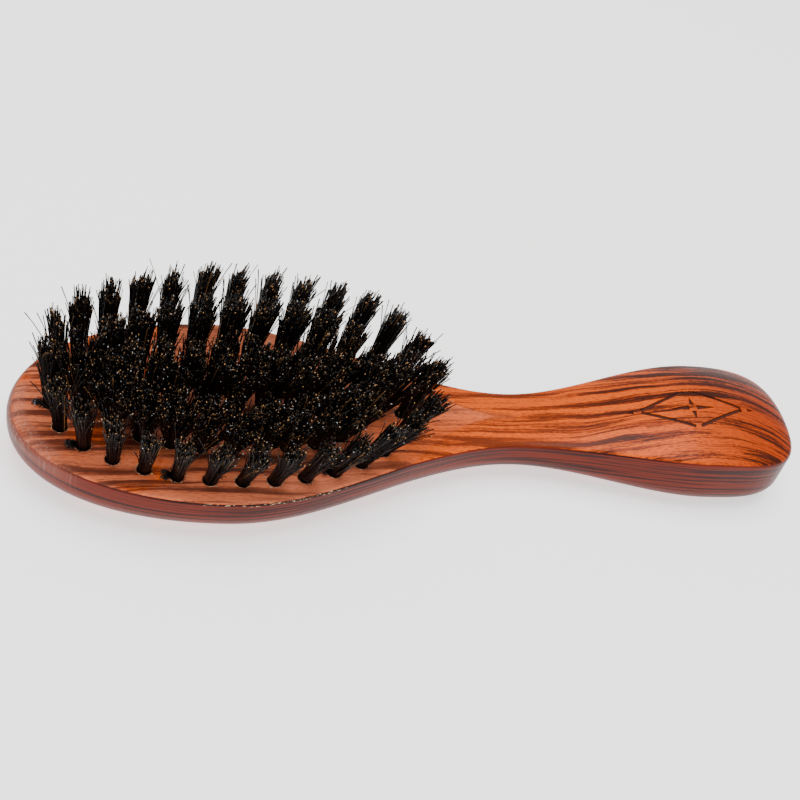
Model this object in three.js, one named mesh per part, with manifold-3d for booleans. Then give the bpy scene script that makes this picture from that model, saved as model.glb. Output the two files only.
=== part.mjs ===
// Beard brush: a one-piece wooden body with an oval head, a waisted neck and a bulbous grip, and tufts of
// bristle, each standing in its own drilled hole in the flat face of the head.
// Millimetres. +X runs along the brush from the head to the grip, +Z is the way the bristles point, and the
// origin is at the middle of the length and width, on the flat of the back.
import * as THREE from "three";
import { mergeVertices } from "three/addons/utils/BufferGeometryUtils.js";
import Module from "manifold-3d";

const wasm = await Module();
wasm.setup();

// ---- Body, seen from above: four stretches, from the head's tip to the grip's end ----
const headTipToWidest = 42.5;
const widestToNeck = 62.5;
const neckToGrip = 45.6;
const gripToEnd = 19.4;
const headHalfWidth = 25.3;
const neckHalfWidth = 7.9;
const gripHalfWidth = 15.5;
const headTipRoundness = 2.06; // exponent of the superellipse: 2 is an ellipse, more is blunter
const gripEndRoundness = 3.2;

// ---- Body, seen from the side ----
const headThickness = 12.5;
const neckEdgeDrop = 0.66; // how far the neck's upper edges lie below the flat face
const gripEdgeRise = 2.7; // how far the grip's upper edges lie above it
const endEdgeRise = 2.0;
const gripCrown = 3.8; // how far the top bulges above its edges
const shoulderLength = 25; // the flat face starts to narrow this far before the neck
const shoulderPower = 3; // how late in that stretch the edge drops away
const headWall = 2.8; // upright part of the side
const neckWall = 3.2;
const gripWall = 7.6;
const neckArch = 2.6; // how far the neck's underside is raised
const headTipTuck = 26; // the back rounds up to the wall's foot over this length at the head's tip
const gripEndTuck = 17;
const backRoundness = 2.6; // exponent of the superelliptic back
const backFlatDepth = 0.35; // how much of the back's dome is sanded flat for the brush to lie on
const arris = 0.8; // rounding of the upper edge
const headTipArris = 2.8;
const headTipArrisReach = 14;

// ---- Holes and tufts ----
const firstHoleFromTip = 8.1;
const holeFieldLength = 71.8; // between the first and last holes on the centre line
const holeEdgeMargin = 5.9; // from the widest hole to the head's edge
const rowInset = 8.3; // from the outer ring of holes to the middle rows
const middleRowStart = 6.8; // along the middle rows' ellipse, from its end to their first hole
const middleRowSpare = 10; // and from their last hole to its other end
const outerRingCount = 28;
const middleRowCount = 9;
const centreRowCount = 11; // without the two that belong to the outer ring
const holeDiameter = 3.0;
const holeDepth = 7.0;
const bristleLength = 16; // above the flat face
const tuftTipDiameter = 5.2;
const tuftDome = 1.0;
const tuftClearance = 0.3; // between a tuft and its hole, all round and below
const tipClearance = 0.1; // between the tips of neighbouring tufts, where they crowd each other
const leanAtMiddle = 5; // degrees towards the grip, at the middle of the hole field
const leanPerLength = 0.32; // degrees more for each millimetre towards the grip
const leanAcross = 20; // degrees outwards, in the outer ring
const leanAcrossPower = 0.5;

// ---- Fineness of the faceted solids ----
const endStations = 12;
const waistStations = 11;
const gripStations = 8;
const topSteps = 8;
const backSteps = 12;
const holeSides = 10;
const tuftSides = 8;
const ellipseSteps = 2000; // chords that an ellipse of holes is measured along
const mergeDistance = 1e-4;
const lengthSlack = 1e-9; // so that a hole wanted at a chord's very end isn't missed by rounding

// ---- Sizes that follow from the ones above ----
const widestX = headTipToWidest;
const neckX = widestX + widestToNeck;
const gripX = neckX + neckToGrip;
const bodyLength = gripX + gripToEnd;
const fieldHalfLength = holeFieldLength / 2;
const fieldCentreX = firstHoleFromTip + fieldHalfLength;
const fieldHalfWidth = headHalfWidth - holeEdgeMargin;
const holeRadius = holeDiameter / 2;
const tuftRootRadius = holeRadius - tuftClearance;

const smoothStep = (t) => {
  const u = Math.min(Math.max(t, 0), 1);
  return u * u * (3 - 2 * u);
};

// A value that eases from one station to the next.
function eased(x, stations) {
  let value = stations[0][1];
  for (let i = 1; i < stations.length; i += 1) {
    const [x0, v0] = stations[i - 1];
    const [x1, v1] = stations[i];
    if (x > x0) value = v0 + (v1 - v0) * smoothStep((x - x0) / (x1 - x0));
  }
  return value;
}

// Half the body's width at a distance x from the head's tip.
function halfWidth(x) {
  if (x < widestX) {
    const u = (widestX - x) / headTipToWidest;
    return headHalfWidth * Math.max(1 - u ** headTipRoundness, 0) ** (1 / headTipRoundness);
  }
  if (x > gripX) {
    const u = (x - gripX) / gripToEnd;
    return gripHalfWidth * Math.max(1 - u ** gripEndRoundness, 0) ** (1 / gripEndRoundness);
  }
  return eased(x, [
    [widestX, headHalfWidth],
    [neckX, neckHalfWidth],
    [gripX, gripHalfWidth],
  ]);
}

// Height of the upper edge. Before the neck it is the edge of the crowned blank, which the flat face cuts.
function edgeHeight(x) {
  if (x < neckX) {
    const u = (neckX - x) / shoulderLength;
    return headThickness - neckEdgeDrop + neckEdgeDrop * u ** shoulderPower;
  }
  return (
    headThickness +
    eased(x, [
      [neckX, -neckEdgeDrop],
      [gripX, gripEdgeRise],
      [bodyLength, endEdgeRise],
    ])
  );
}

// How far the top bulges above its edges. It dies away elliptically towards the grip's end.
function crown(x) {
  if (x > gripX) return gripCrown * Math.sqrt(Math.max(1 - ((x - gripX) / gripToEnd) ** 2, 0));
  return eased(x, [
    [neckX, neckEdgeDrop],
    [gripX, gripCrown],
  ]);
}

// Height of the top at a share s of the half width: the crowned blank, milled flat from the tip to the neck.
function topHeight(x, s) {
  const blank = edgeHeight(x) + crown(x) * (1 - s * s);
  return x < neckX ? Math.min(blank, headThickness) : blank;
}

const wallHeight = (x) =>
  eased(x, [
    [widestX, headWall],
    [neckX, neckWall],
    [gripX, gripWall],
  ]);

const backHeight = (x) =>
  eased(x, [
    [widestX, -backFlatDepth],
    [neckX, neckArch],
    [gripX, -backFlatDepth],
  ]);

// The share of the back's depth that is left at x: none at either end, and all of it in between.
function tuck(x) {
  const fromTip = Math.max(1 - x / headTipTuck, 0);
  const fromEnd = Math.max(1 - (bodyLength - x) / gripEndTuck, 0);
  return Math.max(1 - Math.max(fromTip, fromEnd) ** backRoundness, 0) ** (1 / backRoundness);
}

// The upper edge's rounding grows towards the head's tip, and never takes over half of the half width.
function arrisAt(x) {
  const nearTip = Math.max(1 - x / headTipArrisReach, 0) ** 2;
  return Math.min(arris + (headTipArris - arris) * nearTip, halfWidth(x) / 2);
}

// One closed section across the body at x, as [y, z] pairs: over the top, down the side, and round the back.
function section(x) {
  const w = halfWidth(x);
  const a = arrisAt(x);
  const flatShare = w > 0 ? (w - a) / w : 1;
  const points = [];
  for (let i = 0; i <= topSteps; i += 1) {
    const s = flatShare * (1 - (2 * i) / topSteps);
    points.push([w * s, topHeight(x, s)]);
  }
  const edge = topHeight(x, 1);
  const wallFoot = edge - wallHeight(x);
  const depth = (wallFoot - backHeight(x)) * tuck(x);
  points.push([-w, edge - a]);
  for (let i = 0; i <= backSteps; i += 1) {
    const turn = (Math.PI * i) / backSteps;
    const y = -w * Math.sign(Math.cos(turn)) * Math.abs(Math.cos(turn)) ** (2 / backRoundness);
    const z = wallFoot - depth * Math.sin(turn) ** (2 / backRoundness);
    points.push([i * 2 === backSteps ? 0 : y, Math.max(z, 0)]);
  }
  points.push([w, edge - a]);
  return points;
}

// Distances from the head's tip at which a section is taken, closest together at the two round ends.
function stationList() {
  const list = [];
  for (let i = 0; i <= endStations; i += 1) {
    list.push(widestX * (1 - Math.cos((Math.PI * i) / (2 * endStations))));
  }
  for (let i = 1; i <= waistStations; i += 1) list.push(widestX + (widestToNeck * i) / waistStations);
  for (let i = 1; i <= gripStations; i += 1) list.push(neckX + (neckToGrip * i) / gripStations);
  for (let i = 1; i <= endStations; i += 1) {
    list.push(gripX + gripToEnd * Math.sin((Math.PI * i) / (2 * endStations)));
  }
  return list;
}

const toFrameX = (x) => x - bodyLength / 2;

// The skin through all sections. Each end section has no width, so its two sides meet in one upright line.
function bodyGeometry() {
  const sections = stationList().map((x) => section(x).map(([y, z]) => [toFrameX(x), y, z]));
  const ring = sections[0].length;
  const triangles = [];
  for (let i = 0; i + 1 < sections.length; i += 1) {
    for (let j = 0; j < ring; j += 1) {
      const here = i * ring + j;
      const beside = i * ring + ((j + 1) % ring);
      triangles.push(here, beside, here + ring);
      triangles.push(beside, beside + ring, here + ring);
    }
  }
  const geometry = new THREE.BufferGeometry();
  geometry.setAttribute("position", new THREE.Float32BufferAttribute(sections.flat(2), 3));
  geometry.setIndex(triangles);
  return geometry;
}

// A manifold-3d solid from a closed geometry: shared vertices merged, and faces without area dropped.
function solidOf(geometry) {
  const plain = geometry.clone();
  plain.deleteAttribute("normal");
  plain.deleteAttribute("uv");
  const merged = mergeVertices(plain, mergeDistance);
  const kept = [];
  for (let i = 0; i < merged.index.count; i += 3) {
    const [a, b, c] = [0, 1, 2].map((k) => merged.index.getX(i + k));
    if (a !== b && b !== c && c !== a) kept.push(a, b, c);
  }
  return new wasm.Manifold(
    new wasm.Mesh({
      numProp: 3,
      vertProperties: new Float32Array(merged.getAttribute("position").array),
      triVerts: new Uint32Array(kept),
    }),
  );
}

function geometryOf(solid) {
  const mesh = solid.getMesh();
  const geometry = new THREE.BufferGeometry();
  geometry.setAttribute("position", new THREE.BufferAttribute(mesh.vertProperties, 3));
  geometry.setIndex(new THREE.BufferAttribute(mesh.triVerts, 1));
  geometry.computeVertexNormals();
  return geometry;
}

// ---- Where the holes are ----

// Points spaced evenly by length along part of an ellipse, between two distances from its end at the tip.
function evenlyAlongEllipse(halfLength, halfWidthOfEllipse, from, to, count) {
  const at = (i) => {
    const turn = (2 * Math.PI * i) / ellipseSteps;
    return [fieldCentreX - halfLength * Math.cos(turn), -halfWidthOfEllipse * Math.sin(turn)];
  };
  const run = [0];
  for (let i = 1; i <= ellipseSteps; i += 1) {
    const [x0, y0] = at(i - 1);
    const [x1, y1] = at(i);
    run.push(run[i - 1] + Math.hypot(x1 - x0, y1 - y0));
  }
  const whole = run[ellipseSteps];
  const start = from(whole);
  const end = to(whole);
  return Array.from({ length: count }, (_, k) => {
    const wanted = start + ((end - start) * k) / Math.max(count - 1, 1);
    return at(run.findIndex((length) => length >= wanted - lengthSlack));
  });
}

function holeList() {
  const outer = evenlyAlongEllipse(
    fieldHalfLength,
    fieldHalfWidth,
    () => 0,
    (whole) => (whole * (outerRingCount - 1)) / outerRingCount,
    outerRingCount,
  );
  const near = evenlyAlongEllipse(
    fieldHalfLength - rowInset,
    fieldHalfWidth - rowInset,
    () => middleRowStart,
    (whole) => whole / 2 - middleRowSpare,
    middleRowCount,
  );
  const centre = Array.from({ length: centreRowCount }, (_, k) => [
    firstHoleFromTip + (holeFieldLength * (k + 1)) / (centreRowCount + 1),
    0,
  ]);
  return [
    ...outer.map(([x, y], i) => ({ name: `tuft_outer_${i + 1}`, x, y })),
    ...near.map(([x, y], i) => ({ name: `tuft_near_${i + 1}`, x, y })),
    ...near.map(([x, y], i) => ({ name: `tuft_far_${i + 1}`, x, y: -y })),
    ...centre.map(([x, y], i) => ({ name: `tuft_centre_${i + 1}`, x, y })),
  ];
}

// The way a tuft and its hole point: fanned out along the brush and across it.
function direction({ x, y }) {
  const along = THREE.MathUtils.degToRad(leanAtMiddle + leanPerLength * (x - fieldCentreX));
  const share = Math.abs(y) / fieldHalfWidth;
  const across = THREE.MathUtils.degToRad(leanAcross * share ** leanAcrossPower);
  const dx = Math.sin(along);
  const dy = Math.sign(y) * Math.sin(across);
  return new THREE.Vector3(dx, dy, Math.sqrt(1 - dx * dx - dy * dy));
}

// A lathe turned about Z, from [radius, height] pairs.
function turned(profile, sides) {
  const points = profile.map(([r, z]) => new THREE.Vector2(r, z));
  return new THREE.LatheGeometry(points, sides).rotateX(Math.PI / 2);
}

function placed(object, hole) {
  object.position.set(toFrameX(hole.x), hole.y, headThickness);
  object.quaternion.setFromUnitVectors(new THREE.Vector3(0, 0, 1), direction(hole));
  return object;
}

// ---- The pieces ----
const wood = new THREE.MeshStandardMaterial({ color: 0xa34a22, roughness: 0.38, metalness: 0 });
const bristle = new THREE.MeshStandardMaterial({ color: 0x17110f, roughness: 0.55, metalness: 0 });

function drilledBody(holes) {
  const drill = turned(
    [
      [0, -holeDepth],
      [holeRadius, -holeDepth],
      [holeRadius, holeDepth],
      [0, holeDepth],
    ],
    holeSides,
  );
  let solid = solidOf(bodyGeometry());
  for (const hole of holes) {
    const cutter = placed(new THREE.Object3D(), hole);
    cutter.updateMatrix();
    solid = solid.subtract(solidOf(drill.clone().applyMatrix4(cutter.matrix)));
  }
  const body = new THREE.Mesh(geometryOf(solid), wood);
  body.name = "brush_body";
  return body;
}

// The distance between the middles of the two closest tuft tips.
function closestTips(all) {
  const tips = all.map((hole) => {
    const reach = direction(hole).multiplyScalar(bristleLength - tuftDome);
    return reach.add(new THREE.Vector3(hole.x, hole.y, headThickness));
  });
  const distances = tips.flatMap((tip, i) => tips.slice(i + 1).map((other) => tip.distanceTo(other)));
  return Math.min(...distances);
}

function tuft(hole, tipDiameter) {
  const root = -(holeDepth - tuftClearance);
  const geometry = turned(
    [
      [0, root],
      [tuftRootRadius, root],
      [tuftRootRadius, 0],
      [tipDiameter / 2, bristleLength - tuftDome],
      [0, bristleLength],
    ],
    tuftSides,
  );
  const mesh = placed(new THREE.Mesh(geometry, bristle), hole);
  mesh.name = hole.name;
  return mesh;
}

const holes = holeList();
const brush = new THREE.Group();
brush.add(drilledBody(holes));
const tufts = new THREE.Group();
const tipDiameter = Math.min(tuftTipDiameter, closestTips(holes) - tipClearance);
for (const hole of holes) tufts.add(tuft(hole, tipDiameter));
brush.add(tufts);

export default brush;
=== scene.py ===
"""Looks of a wooden beard brush: a film-finished one-piece body, and tufts of bristle held by wire anchors.

Shapes are worked out in millimetres and put into the meshes in metres. +X runs from the head to the grip,
+Z is the way the bristles point, and z = 0 is the surface that the brush lies on.
"""

from __future__ import annotations

import logging
import math
from collections.abc import Iterable, Mapping, Sequence
from dataclasses import dataclass, field
from enum import Enum

import bmesh
import bpy
import numpy as np
from mathutils import Matrix, Vector

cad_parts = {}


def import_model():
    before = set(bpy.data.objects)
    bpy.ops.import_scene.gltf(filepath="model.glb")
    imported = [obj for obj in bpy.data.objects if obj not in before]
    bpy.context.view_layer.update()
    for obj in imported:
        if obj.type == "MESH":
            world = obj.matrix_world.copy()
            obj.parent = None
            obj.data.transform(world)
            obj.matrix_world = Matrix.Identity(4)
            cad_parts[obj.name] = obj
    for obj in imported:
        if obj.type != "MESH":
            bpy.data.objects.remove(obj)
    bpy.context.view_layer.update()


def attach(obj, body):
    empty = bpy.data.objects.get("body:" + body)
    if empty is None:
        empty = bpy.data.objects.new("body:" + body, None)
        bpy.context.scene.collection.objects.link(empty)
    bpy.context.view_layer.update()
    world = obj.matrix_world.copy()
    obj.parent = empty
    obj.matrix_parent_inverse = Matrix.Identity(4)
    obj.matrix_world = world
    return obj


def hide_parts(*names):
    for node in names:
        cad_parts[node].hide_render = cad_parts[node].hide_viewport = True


LOG = logging.getLogger("beard_brush")
MM = 0.001
BODY = "root"

Colour = tuple[float, float, float]
Place = tuple[float, float, float]
Point = tuple[float, float]
Array = np.ndarray
Faces = Iterable[Sequence[int]]
Solid = tuple[Array, Faces]


class Slot(Enum):
    """The record's material slots."""

    WOOD = "wood_film"
    BRISTLE = "bristle"
    WIRE = "anchor_wire"


class Row(Enum):
    """The rows of tufts, by the word that their CAD nodes carry."""

    OUTER = "outer"
    NEAR = "near"
    FAR = "far"
    CENTRE = "centre"


# ---------------------------------------------------------------- shader maths


class Value:
    """A number socket that can be used in Python expressions."""

    def __init__(self, shader: "Shader", socket: bpy.types.NodeSocket) -> None:
        """Keeps the socket and the shader that new nodes go into."""
        self.shader = shader
        self.socket = socket

    def _math(self, operation: str, first: object, second: object) -> "Value":
        """One Math node on two values or numbers."""
        return self.shader.node("ShaderNodeMath", {"operation": operation}, {0: first, 1: second})

    def __add__(self, other: object) -> "Value":
        """The sum."""
        return self._math("ADD", self, other)

    def __radd__(self, other: object) -> "Value":
        """The sum, with the number first."""
        return self._math("ADD", other, self)

    def __sub__(self, other: object) -> "Value":
        """The difference."""
        return self._math("SUBTRACT", self, other)

    def __rsub__(self, other: object) -> "Value":
        """The difference, with the number first."""
        return self._math("SUBTRACT", other, self)

    def __mul__(self, other: object) -> "Value":
        """The product."""
        return self._math("MULTIPLY", self, other)

    def __rmul__(self, other: object) -> "Value":
        """The product, with the number first."""
        return self._math("MULTIPLY", other, self)

    def __truediv__(self, other: object) -> "Value":
        """The quotient."""
        return self._math("DIVIDE", self, other)

    def __pow__(self, other: object) -> "Value":
        """The power."""
        return self._math("POWER", self, other)

    def most(self, other: object) -> "Value":
        """The larger of two values."""
        return self._math("MAXIMUM", self, other)

    def fade(self, low: float, high: float) -> "Value":
        """0 below low, 1 above high, and a smooth step between them. With low above high it falls instead."""
        inputs = {"Value": self, "From Min": low, "From Max": high}
        return self.shader.node("ShaderNodeMapRange", {"interpolation_type": "SMOOTHSTEP"}, inputs)


class Shader:
    """A material under construction."""

    def __init__(self, name: str) -> None:
        """Starts an empty node material."""
        self.material = bpy.data.materials.new(name)
        self.material.use_nodes = True
        self.tree = self.material.node_tree
        self.tree.nodes.clear()

    def node(
        self,
        kind: str,
        settings: Mapping[str, object] | None = None,
        inputs: Mapping[str | int, object] | None = None,
        output: str | int = 0,
    ) -> Value:
        """Adds one node.

        Args:
            kind: The node's type.
            settings: Properties of the node, set before its sockets.
            inputs: Numbers, colours or values for its sockets, by name or place.
            output: The output that is returned.

        Returns:
            The chosen output.
        """
        made = self.tree.nodes.new(kind)
        for name, setting in (settings or {}).items():
            setattr(made, name, setting)
        for key, given in (inputs or {}).items():
            if isinstance(given, Value):
                self.tree.links.new(given.socket, made.inputs[key])
            else:
                made.inputs[key].default_value = given
        return Value(self, made.outputs[output])

    def parts(self, vector: Value) -> tuple[Value, Value, Value]:
        """The three numbers of a vector."""
        split = self.node("ShaderNodeSeparateXYZ", inputs={0: vector}).socket.node
        return tuple(Value(self, out) for out in split.outputs)

    def position(self) -> tuple[Value, Value, Value]:
        """The place on the object, in millimetres."""
        x, y, z = self.parts(self.node("ShaderNodeTexCoord", output="Object"))
        return x / MM, y / MM, z / MM

    def attribute(self, name: str) -> tuple[Value, Value, Value]:
        """The three numbers of a mesh attribute."""
        found = self.node("ShaderNodeAttribute", {"attribute_name": name}, output="Vector")
        return self.parts(found)

    def noise(self, x: object, y: object, z: object, detail: float = 2.0, roughness: float = 0.5) -> Value:
        """Noise of about one feature per unit of the given numbers."""
        where = self.node("ShaderNodeCombineXYZ", inputs={0: x, 1: y, 2: z})
        inputs = {"Vector": where, "Scale": 1.0, "Detail": detail, "Roughness": roughness}
        return self.node("ShaderNodeTexNoise", inputs=inputs)

    def mix(self, share: object, first: object, second: object) -> Value:
        """A colour that goes from first to second as share goes from 0 to 1."""
        first, second = (c if isinstance(c, Value) else (*c, 1.0) for c in (first, second))
        inputs = {0: share, 6: first, 7: second}
        return self.node("ShaderNodeMix", {"data_type": "RGBA"}, inputs, output=2)

    def layers(self, base: object, *coats: tuple[object, object]) -> Value:
        """The base with each coat, a share and a colour, laid over the last."""
        for share, colour in coats:
            base = self.mix(share, base, colour)
        return base

    def bump(self, height: Value, distance: float, strength: float = 1.0) -> Value:
        """A normal from a height of 0 to 1 that stands for a distance in metres."""
        inputs = {"Height": height, "Distance": distance, "Strength": strength}
        return self.node("ShaderNodeBump", inputs=inputs, output="Normal")

    def finish(self, inputs: Mapping[str, object]) -> bpy.types.Material:
        """Ends the material in a Principled shader with these inputs."""
        surface = self.node("ShaderNodeBsdfPrincipled", inputs=inputs)
        out = self.tree.nodes.new("ShaderNodeOutputMaterial")
        self.tree.links.new(surface.socket, out.inputs["Surface"])
        return self.material


# ---------------------------------------------------------------- finishes


@dataclass(frozen=True)
class WoodFilm:
    """The printed film on the wood: an orange ground with brown bands, dark streaks and fine fibres."""

    light: Colour = (0.72, 0.105, 0.005)
    middle: Colour = (0.29, 0.024, 0.002)
    dark: Colour = (0.024, 0.0065, 0.004)
    side_light: Colour = (0.135, 0.013, 0.004)
    side_dark: Colour = (0.016, 0.004, 0.004)
    milled_light: Colour = (0.66, 0.185, 0.090)
    milled_dark: Colour = (0.090, 0.026, 0.017)
    chafed: Colour = (0.36, 0.135, 0.095)
    scuffed: Colour = (0.62, 0.42, 0.35)
    raw: Colour = (0.70, 0.50, 0.30)
    burnt: Colour = (0.060, 0.016, 0.010)
    grip_start: float = 65.6
    grip_run: float = 19.4
    end_bend: float = 6.0

    def _figure(self, shader: Shader, along: Value, across: Value, bold: Value) -> tuple[Value, Value, Value]:
        """Streaks: noise drawn out along one direction, on lines that wander a little.

        Args:
            shader: The material.
            along: Distance along the streaks, in millimetres.
            across: Distance across them, in millimetres.
            bold: How much bolder the dark streaks are, from 0 to 1.

        Returns:
            The noise of broad bands, how much of a dark streak there is, and the noise of fine fibres.
        """
        wander = shader.noise(along / 26.0, across / 9.0, 0.0)
        line = across + wander * 3.6
        broad = shader.noise(along / 42.0, line / 1.75, 3.0, detail=1.5)
        thin = shader.noise(along / 15.0, line / 0.42, 7.0, detail=3.5, roughness=0.66)
        fibre = shader.noise(along / 1.3, line / 0.23, 11.0, detail=3.0, roughness=0.7)
        streak = thin + broad * 1.1 + fibre * 0.34 + bold * 0.055
        return broad, streak.fade(1.14, 1.36), fibre

    def build(self) -> bpy.types.Material:
        """The film's material, which reads the body's attributes film, rim and cut."""
        shader = Shader("wood_film")
        x, y, _ = shader.position()
        side, under, milled = shader.attribute("film")
        rim_x, rim_y, depth = (metres / MM for metres in shader.attribute("rim"))
        bored, engraved, chafe = shader.attribute("cut")
        past = (x - self.grip_start).most(0.0) / self.grip_run
        towards_end = x.fade(46.0, 80.0)
        broad, thin, fibre = self._figure(shader, x, y + past * past * self.end_bend, towards_end)
        past_neck = x.fade(22.0, 50.0)
        band = broad.fade(0.43, 0.60) * (0.40 + 0.34 * past_neck)
        top = shader.layers(
            self.light,
            (band.most(towards_end * 0.74), self.middle),
            (fibre.fade(0.44, 0.62) * 0.55, self.middle),
            (thin * (0.72 + 0.22 * past_neck), self.dark),
        )
        near_tip = x.fade(-20.0, -62.0)
        pale = shader.layers(
            self.milled_light,
            (broad.fade(0.46, 0.60) * 0.26 + fibre.fade(0.46, 0.70) * 0.34, self.milled_dark),
            ((broad + near_tip * 0.05).fade(0.58, 0.65) * (0.55 + near_tip * 0.35), self.milled_dark),
            (thin * (0.22 + near_tip * 0.5), self.milled_dark),
        )
        patch = shader.noise(x / 9.0, y / 5.0, 31.0, detail=3.0)
        bared = (patch + (1.0 - near_tip) * 0.35).fade(0.30, 0.52)
        bared = bared * (0.92 - x.fade(-14.0, 10.0) * 0.50 - near_tip * 0.22)
        bared = bared * (1.0 - x.fade(-22.0, 2.0) * y.fade(2.0, -7.0) * 0.80)
        # Painted shade: the milled face among the tufts is darkened towards milled_dark, standing in for the
        # shade that the dense bristles cast on the wood there.
        painted_shade_among_tufts = (((x + 41.0) / 28.0) ** 2.0 + (y / 12.0) ** 2.0).fade(1.25, 0.80)
        face = shader.layers(
            top,
            (milled * bared, pale),
            (milled * (1.0 - milled) * 1.6 * y.fade(-6.0, 1.0), self.dark),
            (milled * painted_shade_among_tufts * 0.72, self.milled_dark),
        )
        stripe = shader.noise(rim_x / 46.0, rim_y / 46.0, depth / 0.66)
        fine = shader.noise(rim_x / 14.0, rim_y / 14.0, depth / 0.24, detail=3.0)
        wall = shader.layers(
            self.side_light,
            ((stripe + fine * 0.34).fade(0.62, 0.78) * 0.92, self.side_dark),
            (fine.fade(0.48, 0.66) * 0.40, self.side_dark),
        )
        edge = shader.noise(x / 2.0, y / 2.0, 5.0)
        outside = (side + (edge - 0.5) * 0.5).fade(0.40, 0.60) * (1.0 - under)
        scratch = shader.noise(x / 0.55, y / 0.9, 17.0, detail=4.0, roughness=0.75)
        worn = chafe * scratch.fade(0.50, 0.64)
        edge_worn = depth.fade(0.15, 0.35) * depth.fade(0.95, 0.70) * y.fade(-12.0, -16.0)
        flake = shader.noise(x / 1.1, depth / 0.3, 23.0, detail=4.0, roughness=0.7)
        flaked = edge_worn * x.fade(-52.0, -44.0) * x.fade(-16.0, -24.0) * flake.fade(0.56, 0.60)
        colour = shader.layers(
            face,
            (outside, wall),
            (chafe * 0.30, self.chafed),
            (worn * 0.20, self.scuffed),
            (flaked * 0.85, self.raw),
            (engraved, self.burnt),
            (bored, self.raw),
        )
        rough = 0.34 + milled * 0.16 + worn * 0.15 + engraved * 0.25 + fibre * 0.10
        relief = fibre * 0.5 + thin * 0.4 + scratch * chafe
        return shader.finish(
            {
                "Base Color": colour,
                "Roughness": rough,
                "Specular IOR Level": 0.10,
                "Coat Weight": 0.06 - 0.04 * milled,
                "Coat Roughness": 0.14,
                "Normal": shader.bump(relief, 0.05 * MM, 0.6),
            }
        )


@dataclass(frozen=True)
class RawWood:
    """Bare torn fibres round the drilled holes."""

    pale: Colour = (0.62, 0.43, 0.25)
    stained: Colour = (0.15, 0.045, 0.022)

    def build(self) -> bpy.types.Material:
        """Pale wood with stained patches and a fibrous relief."""
        shader = Shader("raw_wood")
        x, y, z = shader.position()
        patch = shader.noise(x / 1.1, y / 0.5, z / 0.5, detail=3.0)
        fibre = shader.noise(x / 0.5, y / 0.08, z / 0.08)
        return shader.finish(
            {
                "Base Color": shader.mix(patch.fade(0.36, 0.54), self.pale, self.stained),
                "Roughness": 0.62 + fibre * 0.25,
                "Normal": shader.bump(fibre, 0.04 * MM),
            }
        )


@dataclass(frozen=True)
class BoarBristle:
    """Natural bristle: near black, some brown and a few golden, with pale cut tips.

    The piece's UV map holds a shade for each bristle in u, and the place along it in v.
    """

    black: Colour = (0.0014, 0.0010, 0.0012)
    brown: Colour = (0.0065, 0.0028, 0.0018)
    golden: Colour = (0.26, 0.13, 0.045)
    grey_tip: Colour = (0.44, 0.46, 0.49)
    tan_tip: Colour = (0.48, 0.25, 0.09)

    def build(self) -> bpy.types.Material:
        """A colour that depends on the shade and on the place along the bristle."""
        shader = Shader("boar_bristle")
        shade, along, _ = shader.parts(shader.node("ShaderNodeUVMap", {"uv_map": "OFBake"}))
        browned = (shade.fade(0.55, 0.95), self.brown)
        body = shader.layers(self.black, browned, (shade.fade(0.975, 0.985), self.golden))
        scatter = shader.noise(shade * 90.0, 0.0, 2.0, detail=0.0)
        tip = shader.mix(scatter.fade(0.40, 0.52), self.grey_tip, self.tan_tip)
        bare = shader.noise(shade * 140.0, 5.0, 0.0, detail=0.0)
        end = along.fade(0.962, 0.985) * (0.06 + 0.94 * bare.fade(0.52, 0.68))
        warm = shader.mix(along.fade(0.70, 0.97) * 0.3, body, self.brown)
        return shader.finish(
            {
                "Base Color": shader.mix(end, warm, tip),
                "Roughness": 0.42 + 0.2 * along.fade(0.8, 1.0),
                "Specular IOR Level": 0.24,
            }
        )


@dataclass(frozen=True)
class DrawnWire:
    """Flat steel wire with drawing lines."""

    steel: Colour = (0.56, 0.55, 0.53)
    drawn: Colour = (0.30, 0.29, 0.28)

    def build(self) -> bpy.types.Material:
        """Steel that is a little duller along its drawing lines."""
        shader = Shader("drawn_wire")
        x, y, z = shader.position()
        lines = shader.noise(x / 0.05, y / 1.4, z / 0.05)
        return shader.finish(
            {
                "Base Color": shader.mix(lines * 0.4, self.steel, self.drawn),
                "Metallic": 1.0,
                "Roughness": 0.24 + lines * 0.25,
            }
        )


@dataclass(frozen=True)
class StudioFloor:
    """The pale sweep that the brush lies on."""

    pale: Colour = (0.93, 0.93, 0.93)
    glow: float = 1.0

    def build(self) -> bpy.types.Material:
        """A matt, nearly white surface that is lit a little from below."""
        shader = Shader("studio_floor")
        return shader.finish(
            {
                "Base Color": (*self.pale, 1.0),
                "Roughness": 0.85,
                "Emission Color": (1.0, 1.0, 1.0, 1.0),
                "Emission Strength": self.glow,
            }
        )


# ---------------------------------------------------------------- meshes


def grid_faces(rows: int, columns: int, closed: bool) -> Array:
    """Quads of a grid of points, row after row.

    Args:
        rows: Number of rows.
        columns: Points in a row.
        closed: Whether each row runs back into its own start.

    Returns:
        One row of four point numbers for each quad.
    """
    across = np.arange(columns if closed else columns - 1)
    here = np.arange(rows - 1)[:, None] * columns + across
    beside = np.arange(rows - 1)[:, None] * columns + (across + 1) % columns
    return np.stack([here, beside, beside + columns, here + columns], axis=-1).reshape(-1, 4)


def turns(count: int) -> Array:
    """Angles spaced evenly round a circle, from 0."""
    return np.linspace(0.0, 2.0 * math.pi, count, endpoint=False)


def capped(rows: int, columns: int) -> list[Sequence[int]]:
    """Quads of a closed tube of points, with one face over each end."""
    ends = np.arange(columns)
    return [*grid_faces(rows, columns, True), ends[::-1], ends + (rows - 1) * columns]


def mesh_from(name: str, points: Array, faces: Faces) -> bpy.types.Mesh:
    """A mesh from points in millimetres."""
    mesh = bpy.data.meshes.new(name)
    mesh.from_pydata(points.reshape(-1, 3) * MM, [], [list(map(int, face)) for face in faces])
    mesh.update()
    return mesh


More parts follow.
